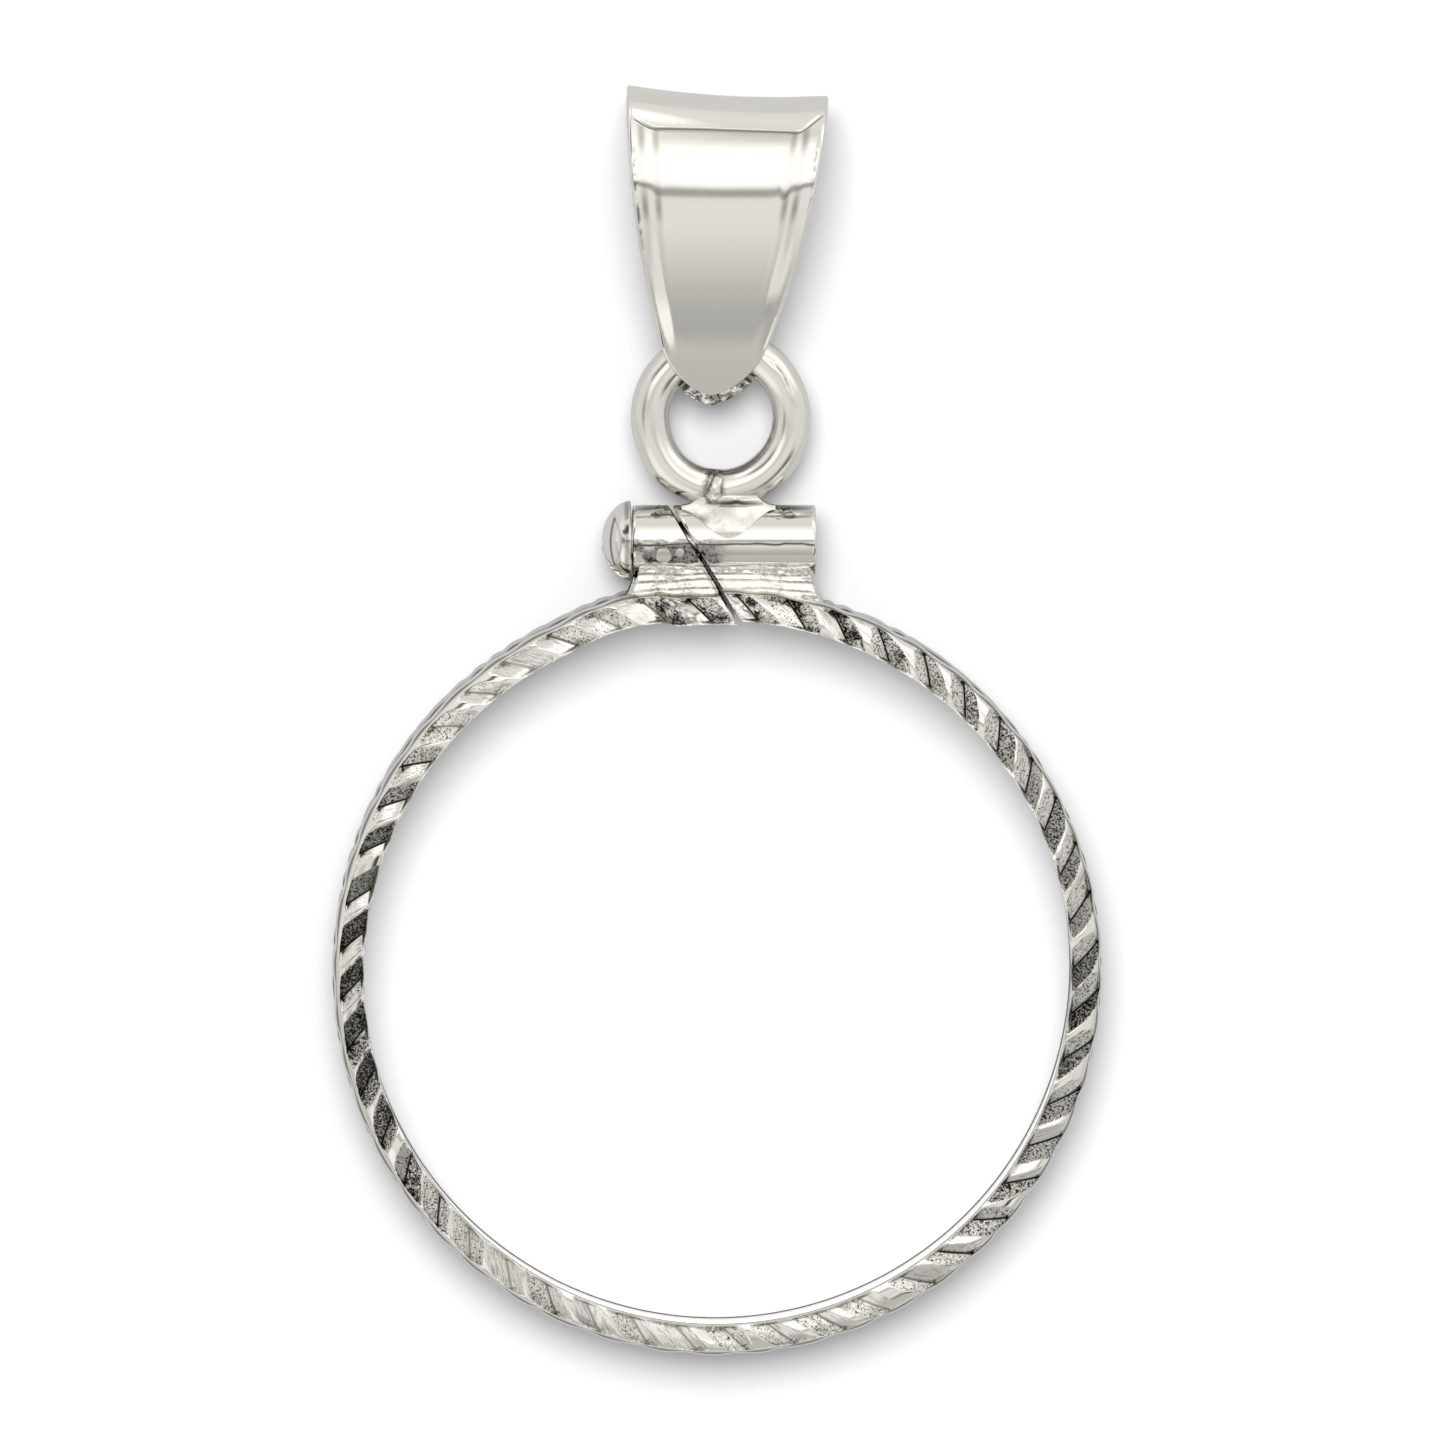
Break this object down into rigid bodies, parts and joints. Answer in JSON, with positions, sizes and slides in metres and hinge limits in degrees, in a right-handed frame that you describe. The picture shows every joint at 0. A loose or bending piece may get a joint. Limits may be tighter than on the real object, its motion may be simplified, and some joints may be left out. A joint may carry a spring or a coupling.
{
  "type": "coin bezel",
  "caption": "Screw-top coin bezel pendant: slotted channel ring with slanting cuts, screw barrel, wire ring and folded strap bail.",
  "frame": {"origin": "middle of the coin's seat, at half of the coin's thickness", "axes": "+Y from the coin to the bail, +Z out of the ring's front, +X along the screw from its head to its tip"},
  "size_m": [0.02, 0.0331, 0.0036],
  "materials": {
    "cast_silver": "diamond-cut and polished sterling silver",
    "turned_silver": "turned and tumbled sterling silver",
    "polished_silver": "stamped and polished sterling silver"
  },
  "bodies": {
    "bezel": {"bezel_ring": "cast_silver", "bail": "polished_silver"},
    "screw": {"clamp_screw": "turned_silver"}
  },
  "joints": [
    {"name": "screw_slide", "type": "slide", "parent": "bezel", "child": "screw", "axis": [-1, 0, 0], "range_m": [0, 0.0047]}
  ]
}
